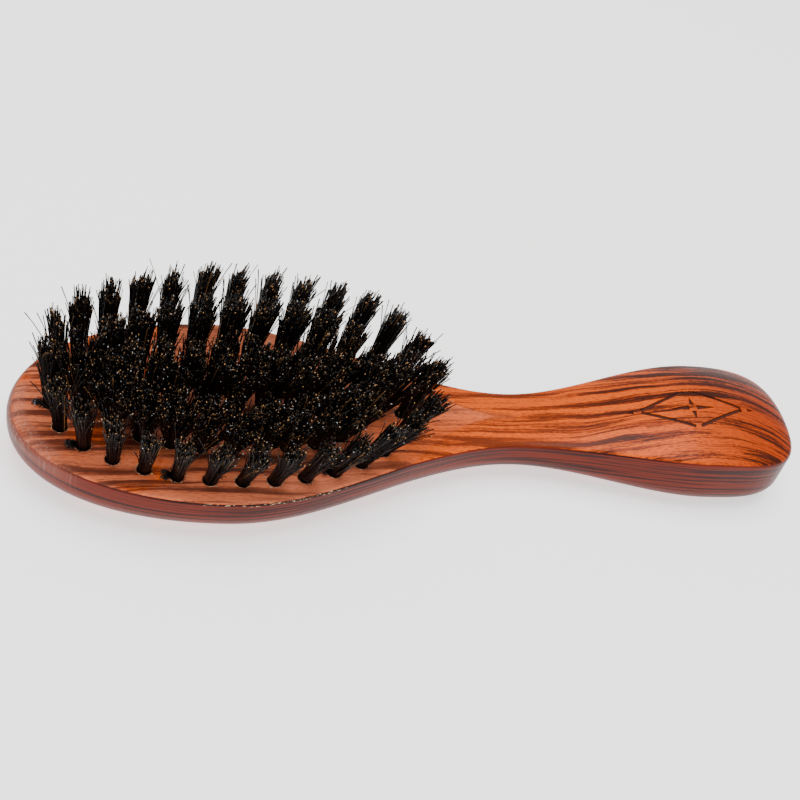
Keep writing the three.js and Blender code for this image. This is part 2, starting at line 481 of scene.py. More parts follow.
def joined(name: str, solids: Iterable[Solid]) -> bpy.types.Mesh:
    """One mesh from several solids, each given by its points and its faces."""
    points, faces, start = [], [], 0
    for own_points, own_faces in solids:
        points.append(own_points.reshape(-1, 3))
        faces += [[start + int(i) for i in face] for face in own_faces]
        start += len(points[-1])
    return mesh_from(name, np.concatenate(points), faces)


def add_object(
    name: str, mesh: bpy.types.Mesh, material: bpy.types.Material | None = None
) -> bpy.types.Object:
    """Links a mesh into the scene under a name, with a material if one is given."""
    piece = bpy.data.objects.new(name, mesh)
    bpy.context.scene.collection.objects.link(piece)
    if material is not None:
        mesh.materials.append(material)
    return piece


def welded(mesh: bpy.types.Mesh, distance: float = 0.002) -> None:
    """Merges points that meet, within a distance in millimetres, and turns all faces outwards."""
    work = bmesh.new()
    work.from_mesh(mesh)
    bmesh.ops.remove_doubles(work, verts=work.verts, dist=distance * MM)
    bmesh.ops.dissolve_degenerate(work, edges=work.edges, dist=distance * MM / 10)
    bmesh.ops.recalc_face_normals(work, faces=work.faces)
    work.to_mesh(mesh)
    work.free()
    mesh.update()


def points_of(mesh: bpy.types.Mesh) -> Array:
    """The mesh's points, in millimetres."""
    flat = np.empty(len(mesh.vertices) * 3, np.float32)
    mesh.vertices.foreach_get("co", flat)
    return flat.reshape(-1, 3).astype(float) / MM


def set_vectors(mesh: bpy.types.Mesh, name: str, *columns: Array) -> None:
    """Stores three numbers for each point of a mesh as an attribute."""
    made = mesh.attributes.new(name, "FLOAT_VECTOR", "POINT")
    made.data.foreach_set("vector", np.stack(columns, axis=-1).astype(np.float32).ravel())


def smooth_step(t: Array) -> Array:
    """0 below 0, 1 above 1, and a smooth step between them."""
    u = np.clip(t, 0.0, 1.0)
    return u * u * (3.0 - 2.0 * u)


def superellipse(u: Array, power: float) -> Array:
    """Height of a unit superellipse at u: 1 less u to a power, to one over that power."""
    return (1.0 - u**power) ** (1.0 / power)


def eased(x: Array, stations: Sequence[tuple[float, float]]) -> Array:
    """A value that eases from one station to the next: a smooth step over each stretch."""
    value = np.full_like(x, stations[0][1], dtype=float)
    for (x0, v0), (x1, v1) in zip(stations, stations[1:]):
        value = value + (v1 - v0) * smooth_step((x - x0) / (x1 - x0))
    return value


# ---------------------------------------------------------------- the wooden body


@dataclass
class BodyForm:
    """The body's outline and heights, in millimetres from the head's tip."""

    tip_to_widest: float = 42.5
    widest_to_neck: float = 62.5
    neck_to_grip: float = 45.6
    grip_to_end: float = 19.4
    head_half_width: float = 25.3
    neck_half_width: float = 7.9
    grip_half_width: float = 15.5
    tip_roundness: float = 2.06
    end_roundness: float = 3.2
    thickness: float = 12.5
    neck_edge_drop: float = 0.66
    grip_edge_rise: float = 2.7
    end_edge_rise: float = 2.0
    grip_crown: float = 3.8
    shoulder: float = 25.0
    head_wall: float = 2.8
    neck_wall: float = 3.2
    grip_wall: float = 7.6
    neck_arch: float = 2.6
    tip_tuck: float = 26.0
    end_tuck: float = 17.0
    back_roundness: float = 2.6
    back_flat_depth: float = 0.35
    arris: float = 0.8
    tip_arris: float = 2.8
    tip_arris_reach: float = 14.0

    @property
    def neck_x(self) -> float:
        """Where the neck is narrowest."""
        return self.tip_to_widest + self.widest_to_neck

    @property
    def grip_x(self) -> float:
        """Where the grip is widest."""
        return self.neck_x + self.neck_to_grip

    @property
    def length(self) -> float:
        """The whole body."""
        return self.grip_x + self.grip_to_end

    def _waisted(self, x: Array, head: float, neck: float, grip: float) -> Array:
        """A value that eases from the head's widest place to the neck, and on to the grip's."""
        return eased(x, [(self.tip_to_widest, head), (self.neck_x, neck), (self.grip_x, grip)])

    def half_width(self, x: Array) -> Array:
        """A superelliptic head and grip end, with smooth steps down to the neck and up to the grip."""
        head_u = np.clip((self.tip_to_widest - x) / self.tip_to_widest, 0.0, 1.0)
        head = self.head_half_width * superellipse(head_u, self.tip_roundness)
        end_u = np.clip((x - self.grip_x) / self.grip_to_end, 0.0, 1.0)
        end = self.grip_half_width * superellipse(end_u, self.end_roundness)
        middle = self._waisted(x, self.head_half_width, self.neck_half_width, self.grip_half_width)
        return np.where(x < self.tip_to_widest, head, np.where(x > self.grip_x, end, middle))

    def from_head_edge(self, x: Array, y: Array) -> Array:
        """Distance inside the head's edge near its tip.

        It is how far the superellipse's radius is from 1, divided by how fast that radius grows.
        """
        u = np.maximum(self.tip_to_widest - x, 1e-3) / self.tip_to_widest
        v = np.maximum(np.abs(y), 1e-3) / self.head_half_width
        power = self.tip_roundness
        radius = (u**power + v**power) ** (1.0 / power)
        slope = np.hypot(u ** (power - 1.0) / self.tip_to_widest, v ** (power - 1.0) / self.head_half_width)
        return (1.0 - radius) / (slope * radius ** (1.0 - power))

    def edge(self, x: Array) -> Array:
        """Height of the crowned blank's edge: level, dropping by a cube towards the neck, then rising."""
        u = (self.neck_x - x) / self.shoulder
        before = self.thickness - self.neck_edge_drop + self.neck_edge_drop * u**3
        stations = [
            (self.neck_x, -self.neck_edge_drop),
            (self.grip_x, self.grip_edge_rise),
            (self.length, self.end_edge_rise),
        ]
        return np.where(x < self.neck_x, before, self.thickness + eased(x, stations))

    def crown(self, x: Array) -> Array:
        """How far the top bulges: eased up from the neck, and dying away as an ellipse at the end."""
        u = np.clip((x - self.grip_x) / self.grip_to_end, 0.0, 1.0)
        rising = eased(x, [(self.neck_x, self.neck_edge_drop), (self.grip_x, self.grip_crown)])
        return np.where(x > self.grip_x, self.grip_crown * np.sqrt(1.0 - u * u), rising)

    def share(self, x: Array, y: Array) -> Array:
        """The place across, as a share of the half width."""
        return np.clip(np.abs(y) / np.maximum(self.half_width(x), 1e-6), 0.0, 1.0)

    def blank(self, x: Array, y: Array) -> Array:
        """The crowned blank before milling: a parabola across."""
        return self.edge(x) + self.crown(x) * (1.0 - self.share(x, y) ** 2)

    def top(self, x: Array, y: Array) -> Array:
        """The blank, milled flat from the tip to the neck."""
        blank = self.blank(x, y)
        return np.where(x < self.neck_x, np.minimum(blank, self.thickness), blank)

    def wall_foot(self, x: Array) -> Array:
        """Where the upright side ends and the back begins."""
        edge = np.where(x < self.neck_x, np.minimum(self.edge(x), self.thickness), self.edge(x))
        return edge - self._waisted(x, self.head_wall, self.neck_wall, self.grip_wall)

    def back(self, x: Array, y: Array) -> Array:
        """The back: a superellipse across, tucked up at both ends, and sanded flat at z = 0."""
        lift = self._waisted(x, -self.back_flat_depth, self.neck_arch, -self.back_flat_depth)
        nearness = np.maximum(1.0 - x / self.tip_tuck, 1.0 - (self.length - x) / self.end_tuck)
        tuck = superellipse(np.clip(nearness, 0.0, 1.0), self.back_roundness)
        hollow = superellipse(self.share(x, y), self.back_roundness)
        foot = self.wall_foot(x)
        return np.maximum(foot - (foot - lift) * tuck * hollow, 0.0)

    def rounding(self, x: Array) -> Array:
        """Radius of the upper edge, larger at the head's tip."""
        near = np.clip(1.0 - x / self.tip_arris_reach, 0.0, 1.0) ** 2
        return self.arris + (self.tip_arris - self.arris) * near

    def crease(self, x: Array) -> Array:
        """Share of the half width where the milled flat ends: 1 before the shoulder, 0 from the neck on."""
        drop = self.thickness - self.edge(x)
        found = np.sqrt(np.clip(1.0 - drop / np.maximum(self.crown(x), 1e-6), 0.0, 1.0))
        return np.where(x < self.neck_x - self.shoulder, 1.0, np.where(x > self.neck_x, 0.0, found))


@dataclass
class Outline:
    """The body's outline as evenly spaced points, with the length run along it and its inward normals."""

    form: BodyForm
    count: int = 760
    fineness: int = 6000
    x: Array = field(init=False)
    y: Array = field(init=False)
    inward: Array = field(init=False)
    table: tuple[Array, Array] = field(init=False)

    def __post_init__(self) -> None:
        """Spaces the points evenly by length: down the near side, and back along the far side."""
        form = self.form
        turn = np.linspace(0.0, math.pi, self.fineness)
        x = form.length * (1.0 - np.cos(turn)) / 2.0
        w = form.half_width(x)
        run = np.concatenate([[0.0], np.cumsum(np.hypot(np.diff(x), np.diff(w)))])
        wanted = np.linspace(0.0, run[-1], self.count // 2 + 1)
        half_x, half_w = np.interp(wanted, run, x), np.interp(wanted, run, w)
        self.x = np.concatenate([half_x, half_x[-2:0:-1]])
        self.y = np.concatenate([-half_w, half_w[-2:0:-1]])
        line = np.stack([self.x, self.y], axis=-1)
        step = np.roll(line, -1, axis=0) - np.roll(line, 1, axis=0)
        step /= np.linalg.norm(step, axis=-1, keepdims=True)
        self.inward = np.stack([-step[:, 1], step[:, 0]], axis=-1)
        self.table = (x, run)

    def round_about(self, x: Array, y: Array) -> tuple[Array, Array]:
        """The outline rolled into a circle of the same length, so that a pattern on it has no seam.

        Args:
            x: Places along the brush.
            y: Places across it, of which only the side counts.

        Returns:
            The circle's two coordinates.
        """
        table_x, run = self.table
        turn = math.pi * np.interp(x, table_x, run) / run[-1] * np.where(y < 0.0, -1.0, 1.0)
        radius = run[-1] / math.pi
        return radius * np.cos(turn), radius * np.sin(turn)


@dataclass
class Ornament:
    """A plain engraved lozenge on the grip, with four tapered strokes in it and one beyond each end."""

    form: BodyForm
    centre: float = 145.0
    aside: float = -1.6
    half_length: float = 12.5
    half_width: float = 5.2
    stroke: float = 0.8
    depth: float = 0.32
    overshoot: float = 1.0
    corner_gap: float = 0.05
    point_width: float = 0.15
    steps: int = 24

    def _bar(self, start: Point, end: Point, width: float, end_width: float) -> Solid:
        """A closed cutter along a straight line, with a floor that follows the top at the depth.

        Args:
            start: Where the line starts, from the ornament's centre.
            end: Where it ends.
            width: Its width at the start.
            end_width: Its width at the end.

        Returns:
            The points and the faces.
        """
        along = np.linspace(0.0, 1.0, self.steps)[:, None]
        a, b = np.array(start), np.array(end)
        direction = (b - a) / np.linalg.norm(b - a)
        side = np.array([-direction[1], direction[0]])
        middle = a + (b - a) * along
        half = (width + (end_width - width) * along) / 2.0
        left, right = middle + side * half, middle - side * half
        rows = []
        for place, lift in ((left, -self.depth), (right, -self.depth), (right, 1.0), (left, 1.0)):
            x, y = place[:, 0] + self.centre, place[:, 1] + self.aside
            z = self.form.top(x, y) + lift * (self.overshoot if lift > 0.0 else 1.0)
            rows.append(np.stack([x, y, z], axis=-1))
        return np.stack(rows, axis=1).reshape(-1, 3), capped(self.steps, 4)

    def cutters(self) -> list[Solid]:
        """The lozenge's four sides, open at its corners, and the tapered strokes on its two axes."""
        length, width = self.half_length, self.half_width
        corners = [(-length, 0.0), (0.0, -width), (length, 0.0), (0.0, width)]
        bars = []
        for start, end in zip(corners, corners[1:] + corners[:1]):
            gap = self.corner_gap * (np.array(end) - np.array(start))
            first, last = tuple(np.array(start) + gap), tuple(np.array(end) - gap)
            bars.append(self._bar(first, last, self.stroke, self.stroke))
        inner = width * 0.42
        strokes = (
            ((0.9, 0.0), (inner * 2.3, 0.0), 1.3),
            ((0.0, 0.9), (0.0, inner * 1.35), 1.2),
            ((length + 1.0, 0.0), (length + 2.6, 0.0), 1.0),
        )
        for sign in (-1.0, 1.0):
            for start, end, broad in strokes:
                first, last = (tuple(sign * at for at in point) for point in (start, end))
                bars.append(self._bar(first, last, broad, self.point_width))
        return bars


@dataclass
class HoleField:
    """Where the tufts stand, and the way each points."""

    form: BodyForm
    first_from_tip: float = 8.1
    field_length: float = 71.8
    edge_margin: float = 5.9
    row_inset: float = 8.3
    middle_start: float = 6.8
    middle_spare: float = 10.0
    outer_count: int = 28
    middle_count: int = 9
    centre_count: int = 11
    diameter: float = 3.0
    depth: float = 7.0
    lean_middle: float = 5.0
    lean_per_length: float = 0.32
    lean_across: float = 20.0
    lean_power: float = 0.5
    chords: int = 2000

    def _ellipse(self, inset: float, start: float, spare: float, count: int, whole: bool) -> Array:
        """Points spaced evenly by length along an ellipse, from its end at the head's tip.

        Args:
            inset: How far the ellipse lies inside the outer ring.
            start: Length from the tip's end to the first point.
            spare: Length left over after the last point.
            count: Number of points.
            whole: Whether the points go all the way round, and not along half of it.

        Returns:
            The points, as x and y.
        """
        turn = np.linspace(0.0, 2.0 * math.pi, self.chords + 1)
        half = self.field_length / 2.0
        x = self.first_from_tip + half - (half - inset) * np.cos(turn)
        y = -(self.form.head_half_width - self.edge_margin - inset) * np.sin(turn)
        run = np.concatenate([[0.0], np.cumsum(np.hypot(np.diff(x), np.diff(y)))])
        end = run[-1] * (1.0 - 1.0 / count) if whole else run[-1] / 2.0
        wanted = np.linspace(start, end - spare, count)
        return np.stack([np.interp(wanted, run, x), np.interp(wanted, run, y)], axis=-1)

    def within(self, x: Array, y: Array, margin: float) -> Array:
        """Whether points lie inside the outer ring's ellipse, or outside it by less than a margin."""
        half = self.field_length / 2.0
        across = self.form.head_half_width - self.edge_margin
        return ((x - self.first_from_tip - half) / (half + margin)) ** 2 + (y / (across + margin)) ** 2 < 1.0

    def places(self) -> list[tuple[str, float, float]]:
        """Each tuft's CAD node with its place, row by row."""
        outer = self._ellipse(0.0, 0.0, 0.0, self.outer_count, True)
        near = self._ellipse(self.row_inset, self.middle_start, self.middle_spare, self.middle_count, False)
        share = np.arange(1, self.centre_count + 1) / (self.centre_count + 1)
        centre = np.stack([self.first_from_tip + self.field_length * share, share * 0.0], axis=-1)
        rows = {Row.OUTER: outer, Row.NEAR: near, Row.FAR: near * (1.0, -1.0), Row.CENTRE: centre}
        return [
            (f"tuft_{row.value}_{i + 1}", float(x), float(y))
            for row, points in rows.items()
            for i, (x, y) in enumerate(points)
        ]

    def direction(self, x: float, y: float) -> Array:
        """The unit vector a tuft points along: fanned along the brush and outwards across it."""
        from_middle = x - self.first_from_tip - self.field_length / 2.0
        along = math.radians(self.lean_middle + self.lean_per_length * from_middle)
        share = abs(y) / (self.form.head_half_width - self.edge_margin)
        dx = math.sin(along)
        dy = math.copysign(math.sin(math.radians(self.lean_across * share**self.lean_power)), y) if y else 0.0
        return np.array([dx, dy, math.sqrt(1.0 - dx * dx - dy * dy)])

    def axes(self, x: float, y: float) -> tuple[Array, Array, Array]:
        """Two directions across a hole and the one along it."""
        along = self.direction(x, y)
        first = np.cross([0.0, 1.0, 0.0], along)
        first /= np.linalg.norm(first)
        return first, np.cross(along, first), along

    def ring(self, x: float, y: float, sides: int) -> Array:
        """Unit vectors across a hole, all round it."""
        first, second, _ = self.axes(x, y)
        turn = turns(sides)[:, None]
        return first * np.cos(turn) + second * np.sin(turn)

    def mouth(self, x: float, y: float) -> Array:
        """The middle of a hole's mouth on the flat face, in the part's frame."""
        return np.array([x - self.form.length / 2.0, y, self.form.thickness])


@dataclass
class BrushBody:
    """The wooden body: one skin round the outline, with the holes and the ornament cut into it."""

    form: BodyForm
    holes: HoleField
    outline: Outline
    top_rows: int = 15
    arris_rows: int = 6
    wall_rows: int = 6
    back_rows: int = 24
    head_spine: float = 20.0
    end_spine: float = 12.0
    head_split: float = 0.6
    least_split: float = 0.03
    most_split: float = 0.96
    grip_split: float = 0.5
    split_blend: float = 20.0
    touch: float = 0.02
    hole_sides: int = 24
    hole_roof: float = 3.0

    def _row(self, x: Array, y: Array, z: Array) -> Array:
        """One row of points round the body, in the part's frame."""
        return np.stack([x - self.form.length / 2.0, y, z], axis=-1)

    def _skin(self) -> bpy.types.Mesh:
        """Rows round the outline: from the spine over the top, round the arris, down the wall, and back in.

        A point on the top or the back lies on the straight line from the spine to the outline, at a share
        of it, and its height is the top's or the back's at that place. The arris is a quarter circle.

        Returns:
            The closed skin.
        """
        form, line = self.form, self.outline
        spine = np.clip(line.x, self.head_spine, form.length - self.end_spine)
        radius = np.minimum(form.rounding(line.x), form.half_width(spine) / 2.0)
        inner = np.stack([line.x, line.y], axis=-1) + line.inward * radius[:, None]
        crease = form.crease(line.x)
        near = smooth_step((line.x - (form.neck_x - form.shoulder - self.split_blend)) / self.split_blend)
        far = smooth_step((line.x - form.neck_x) / self.split_blend)
        creased = np.clip(crease, self.least_split, self.most_split)
        before = self.head_split + (creased - self.head_split) * near
        after = self.least_split + (self.grip_split - self.least_split) * far
        split = np.where(line.x < form.neck_x, before, after)
        rows = []
        for part in np.linspace(0.0, 2.0, 2 * self.top_rows + 1)[:-1]:
            reach = split * part if part <= 1.0 else split + (1.0 - split) * (part - 1.0)
            x, y = spine + (inner[:, 0] - spine) * reach, inner[:, 1] * reach
            rows.append(self._row(x, y, form.top(x, y)))
        for turn in np.linspace(0.0, math.pi / 2.0, self.arris_rows + 1):
            x, y = np.array([line.x, line.y]) + line.inward.T * radius * (1.0 - math.sin(turn))
            rows.append(self._row(x, y, form.top(x, y) - radius * (1.0 - math.cos(turn))))
        edge, foot = form.top(line.x, line.y) - radius, form.wall_foot(line.x)
        for part in np.linspace(0.0, 1.0, self.wall_rows + 1)[1:]:
            rows.append(self._row(line.x, line.y, edge + (np.minimum(foot, edge) - edge) * part))
        for turn in np.linspace(0.0, math.pi / 2.0, self.back_rows + 1)[1:]:
            reach = np.full_like(line.x, max(math.cos(turn), 0.0) ** (2.0 / form.back_roundness))
            x, y = spine + (line.x - spine) * reach, line.y * reach
            rows.append(self._row(x, y, form.back(x, y)))
        mesh = mesh_from("skin", np.stack(rows), grid_faces(len(rows), line.count, True))
        welded(mesh)
        return mesh

    def _drill(self, x: float, y: float) -> Solid:
        """A closed cylinder along one hole, from its bottom to above the flat face."""
        ring = self.holes.ring(x, y, self.hole_sides) * self.holes.diameter / 2.0
        mouth, along = self.holes.mouth(x, y), self.holes.direction(x, y)
        bottom, roof = mouth - along * self.holes.depth, mouth + along * self.hole_roof
        return np.concatenate([bottom + ring, roof + ring]), capped(2, self.hole_sides)

    def _cutter(self) -> bpy.types.Object:
        """All drills and engraving bars as one object."""
        solids = [self._drill(x, y) for _, x, y in self.holes.places()]
        shift = np.array([self.form.length / 2.0, 0.0, 0.0])
        solids += [(points - shift, faces) for points, faces in Ornament(self.form).cutters()]
        mesh = joined("cutter", solids)
        welded(mesh)
        return add_object("cutter", mesh)

    def _mark(self, mesh: bpy.types.Mesh) -> None:
        """Stores what the finish needs, as the attributes film, rim and cut.

        Film holds side, back and milled, rim holds the rolled outline and the depth, and cut holds bore,
        engraving and tip wear. Depth is how far a point lies from the upper edge, down the wall and then
        under the back.
        """
        form = self.form
        place = points_of(mesh)
        x, y, z = place[:, 0] + form.length / 2.0, place[:, 1], place[:, 2]
        width = form.half_width(x)
        inset = np.maximum(width - np.abs(y), 0.0)
        down = form.top(x, y) - z
        on_back = np.abs(form.back(x, y) - z) < self.touch
        side = smooth_step((down / form.rounding(x) - 0.12) / 0.45)
        under = np.where(on_back, smooth_step((inset - 1.5) / 5.0), 0.0)
        cut_away = (form.blank(x, y) - form.thickness) / self.touch
        milled = np.where(x < form.neck_x, smooth_step(0.5 + cut_away), 0.0) * (1.0 - side)
        rolled_x, rolled_y = self.outline.round_about(x, y)
        depth = np.maximum(form.top(x, np.sign(y) * width) - z, 0.0) + np.where(on_back, inset, 0.0)
        inside = (inset > 1.0 + form.rounding(x)) & ~on_back & (down > self.touch)
        bored = np.where(inside & self.holes.within(x, y, 2.2), smooth_step(down / 0.3), 0.0)
        engraved = np.where(inside & (x > form.neck_x), smooth_step(down / 0.12), 0.0)
        tip_band = smooth_step((15.0 - x) / 9.0) * smooth_step((4.0 - form.from_head_edge(x, y)) / 1.6)
        tip_band *= smooth_step((5.0 - down) / 3.0) * smooth_step((9.0 - y) / 7.0)
        set_vectors(mesh, "film", side, under, milled)
        set_vectors(mesh, "rim", rolled_x * MM, rolled_y * MM, depth * MM)
        set_vectors(mesh, "cut", bored, engraved, tip_band)

    def build(self, finish: WoodFilm) -> bpy.types.Object:
        """Cuts the skin, marks it and dresses it.

        Args:
            finish: The film.

        Returns:
            The body, which stands for its CAD node.
        """
        blank, cutter = add_object("blank", self._skin()), self._cutter()
        cut = blank.modifiers.new("cut", "BOOLEAN")
        cut.operation, cut.solver, cut.object = "DIFFERENCE", "MANIFOLD", cutter
        graph = bpy.context.evaluated_depsgraph_get()
        mesh = bpy.data.meshes.new_from_object(blank.evaluated_get(graph))
        for spent in (blank, cutter):
            bpy.data.objects.remove(spent)
        mesh.materials.clear()
        mesh.polygons.foreach_set("material_index", np.zeros(len(mesh.polygons), np.int32))
        self._mark(mesh)
        mesh.shade_smooth()
        mesh.set_sharp_from_angle(angle=math.radians(32.0))
        body = add_object("film_finished_body", mesh, finish.build())
        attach(body, BODY)
        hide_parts("brush_body")
        return body


@dataclass
class DrilledRims:
    """Torn pale fibres round each hole's mouth: a ragged ring that stands a little proud."""

    holes: HoleField
    sides: int = 36
    width: float = 0.26
    least: float = 0.35
    splinter: float = 1.6
    splinter_above: float = 0.93
    seed: int = 41
    # Each ring's step from the hole's wall, its height, and its share of the ragged width.
    profile: tuple[Place, ...] = ((-0.03, -0.5, 0.0), (-0.02, 0.05, 0.5), (0.0, 0.06, 0.7), (0.0, 0.0, 1.0))

    def _rim(self, x: float, y: float, chance: np.random.Generator) -> Solid:
        """Rings round one mouth, each pushed out by a share of the ragged width, and flat on the face."""
        along = self.holes.direction(x, y)
        ragged = self.least + (1.0 - self.least) * chance.random(self.sides)
        ragged = ragged + self.splinter * (chance.random(self.sides) > self.splinter_above)
        rows = []
        for step, lift, share in self.profile:
            distance = self.holes.diameter / 2.0 + step + self.width * ragged * share
            flat = self.holes.ring(x, y, self.sides) * distance[:, None]
            flat = flat - along * (flat[:, 2] / along[2])[:, None]
            rows.append(self.holes.mouth(x, y) + flat + np.array([0.0, 0.0, lift]))
        return np.concatenate(rows), grid_faces(len(rows), self.sides, True)

    def build(self, finish: RawWood) -> bpy.types.Object:
        """Rings whose width and lift vary as noise round the mouth.

        Args:
            finish: The bare wood.

        Returns:
            All rims as one piece.
        """
        chance = np.random.default_rng(self.seed)
        mesh = joined("drilled_rims", (self._rim(x, y, chance) for _, x, y in self.holes.places()))
        mesh.shade_smooth()
        rims = add_object("drilled_rims", mesh, finish.build())
        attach(rims, BODY)
        return rims


@dataclass(frozen=True)
class Habit:
    """How a row's tufts have grown: their bristles, how far these spread, and the share that is short."""

    bristles: int
    tip_radius: float
    short_share: float


HABITS = {
    Row.OUTER: Habit(250, 2.2, 0.36),
    Row.FAR: Habit(360, 2.9, 0.52),
    Row.NEAR: Habit(480, 5.2, 0.58),
    Row.CENTRE: Habit(560, 6.2, 0.60),
}


@dataclass
class Tufts:
    """The bundles of bristle, one piece for each hole."""

    holes: HoleField
    bristle_length: float = 16.0
    root_radius: float = 1.24
    longest: float = 19.0
    thickness: float = 0.105
    rings: int = 7
    sides: int = 3
    clumps: int = 12
    clump_reach: float = 0.95
    clump_pull: Point = (0.35, 0.45)
    clump_uneven: float = 1.15
    uneven: float = 0.95
    middle_length: float = 1.04
    rim_shorter: float = 0.16
    short_length: Point = (0.45, 0.50)
    above_bottom: float = 0.6
    cut_end: float = 0.988
    stray_share: float = 0.11
    stray_bend: float = 2.2
    bend: float = 0.55
    spread_power: float = 0.85
    end_flare: float = 1.18
    droop: float = -1.1
    sway: float = 0.05
    seed: int = 7
    stub_tufts: tuple[str, ...] = ("tuft_outer_1", "tuft_outer_3", "tuft_outer_6", "tuft_outer_11")
    stubs: int = 34

    def _paths(self, chance: np.random.Generator, habit: Habit) -> tuple[Array, Array]:
        """Centre lines of a tuft's bristles, from the bottom of the hole to the tip.

        A bristle keeps its place in the hole up to the mouth and spreads out with a power of the height above
        it, drawn towards its clump, and bends by its own amount with the square of the height. A pair of
        values is the least, and the most that chance adds to it.

        Args:
            chance: The tuft's own random numbers.
            habit: The row's habit.

        Returns:
            Points by bristle and ring, as across, across and along, and the share of the length at each ring.
        """
        count = habit.bristles
        radius = np.sqrt(chance.random(count))
        turn = 2.0 * math.pi * chance.random(count)
        spot = np.stack([radius * np.cos(turn), radius * np.sin(turn)], axis=-1)
        centre_turn = 2.0 * math.pi * chance.random(self.clumps)
        centre_radius = np.sqrt(chance.random(self.clumps)) * self.clump_reach
        centres = np.stack([np.cos(centre_turn), np.sin(centre_turn)], axis=-1) * centre_radius[:, None]
        nearest = np.argmin(np.linalg.norm(spot[:, None] - centres[None], axis=-1), axis=1)
        pull = self.clump_pull[0] + self.clump_pull[1] * chance.random((count, 1))
        goal = spot + (centres[nearest] - spot) * pull
        clump_length = chance.normal(0.0, self.clump_uneven, self.clumps)[nearest]
        length = self.bristle_length * (self.middle_length - self.rim_shorter * radius**2) + clump_length
        length += chance.normal(0.0, self.uneven, count)
        short = chance.random(count) < habit.short_share
        least, more = self.short_length
        length = np.where(short, length * (least + more * chance.random(count)), length)
        length = np.minimum(length, self.longest)
        depth = self.holes.depth - self.above_bottom
        share = np.concatenate([[-1.0, 0.0], np.linspace(0.0, 1.0, self.rings)[1:-1], [self.cut_end, 1.0]])
        above = np.clip(share, 0.0, 1.0)[None, :] * length[:, None]
        level = (above / self.bristle_length)[..., None]
        stray = chance.random((count, 1, 1)) < self.stray_share
        bend = chance.normal(0.0, self.bend, (count, 1, 2)) * (1.0 + self.stray_bend * stray)
        spread = (goal * habit.tip_radius - spot * self.root_radius)[:, None, :] * level**self.spread_power
        across = spot[:, None, :] * self.root_radius + spread + bend * level**2.0
        along = above + np.minimum(share, 0.0)[None, :] * depth
        return np.concatenate([across, along[..., None]], axis=-1), share

    def _stub_paths(self, chance: np.random.Generator) -> Array:
        """Short clipped bristles that fan out low on the side towards the head's tip."""
        rise = np.linspace(0.0, 1.0, self.rings + 2)[None, :]
        turn = math.pi + chance.normal(0.0, 0.5, (self.stubs, 1))
        length = 1.5 + 0.9 * chance.random((self.stubs, 1))
        out = self.root_radius * 0.9 + length * rise
        up = length * (0.20 + 0.55 * chance.random((self.stubs, 1))) * np.sin(rise * 2.2)
        return np.stack([out * np.cos(turn), out * np.sin(turn) * 0.6, up], axis=-1)

    def _tubes(self, paths: Array, thick: Array, axes: tuple[Array, Array, Array], mouth: Array) -> Array:
        """Points round the bristles: a small ring across the tuft at each point of a path.

        All bristles have taken the same set from use: sideways with the square of the height above the mouth.
        """
        turn = turns(self.sides)
        profile = np.ones(paths.shape[1])
        profile[-2:] = self.end_flare
        ring = np.stack([np.cos(turn), np.sin(turn), 0.0 * turn], axis=-1)
        local = paths[:, :, None, :] + ring * (thick[:, None] * profile)[:, :, None, None]
        set_in = np.clip(paths[:, :, 2] / self.bristle_length, 0.0, 2.0)[:, :, None, None] ** 2
        return mouth + local @ np.stack(axes) + set_in * np.array([self.sway * mouth[1], self.droop, 0.0])

    def _one(
        self, name: str, x: float, y: float, index: int, material: bpy.types.Material
    ) -> bpy.types.Object:
        """One tuft, with its shades in a UV map.

        Args:
            name: Its CAD node.
            x: Its place along the brush, from the head's tip.
            y: Its place across the brush.
            index: Its number, which sets its random numbers.
            material: The bristle's finish.

        Returns:
            The piece.
        """
        chance = np.random.default_rng(self.seed * 1000 + index)
        paths, share = self._paths(chance, HABITS[Row(name.split("_")[1])])
        if name in self.stub_tufts:
            paths = np.concatenate([paths, self._stub_paths(chance)])
        count, rings = paths.shape[:2]
        thick = self.thickness * (0.75 + 0.5 * chance.random(count))
        points = self._tubes(paths, thick, self.holes.axes(x, y), self.holes.mouth(x, y))
        tube = grid_faces(rings, self.sides, True)
        starts = np.arange(count)[:, None, None] * rings * self.sides
        cap = np.arange(self.sides) + (rings - 1) * self.sides
        walls = (tube[None] + starts).reshape(-1, 4).tolist()
        ends = (cap[None] + starts[:, 0]).tolist()
        mesh = mesh_from(name + "_bristles", points, walls + ends)
        shade = chance.random(count)
        layer = mesh.uv_layers.new(name="OFBake")
        corner = np.empty(len(mesh.loops), np.int32)
        mesh.loops.foreach_get("vertex_index", corner)
        along = np.clip(share, 0.0, 1.0)[(corner // self.sides) % rings]
        flat = np.stack([shade[corner // (rings * self.sides)], along * 0.98 + 0.01], axis=-1)
        layer.data.foreach_set("uv", flat.astype(np.float32).ravel())
        mesh.shade_smooth()
        tuft = add_object(name + "_bristles", mesh, material)
        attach(tuft, BODY)
        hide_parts(name)
        return tuft

    def build(self, finish: BoarBristle) -> list[bpy.types.Object]:
        """All tufts, each in place of its CAD node."""
        material = finish.build()
        return [self._one(name, x, y, i, material) for i, (name, x, y) in enumerate(self.holes.places())]


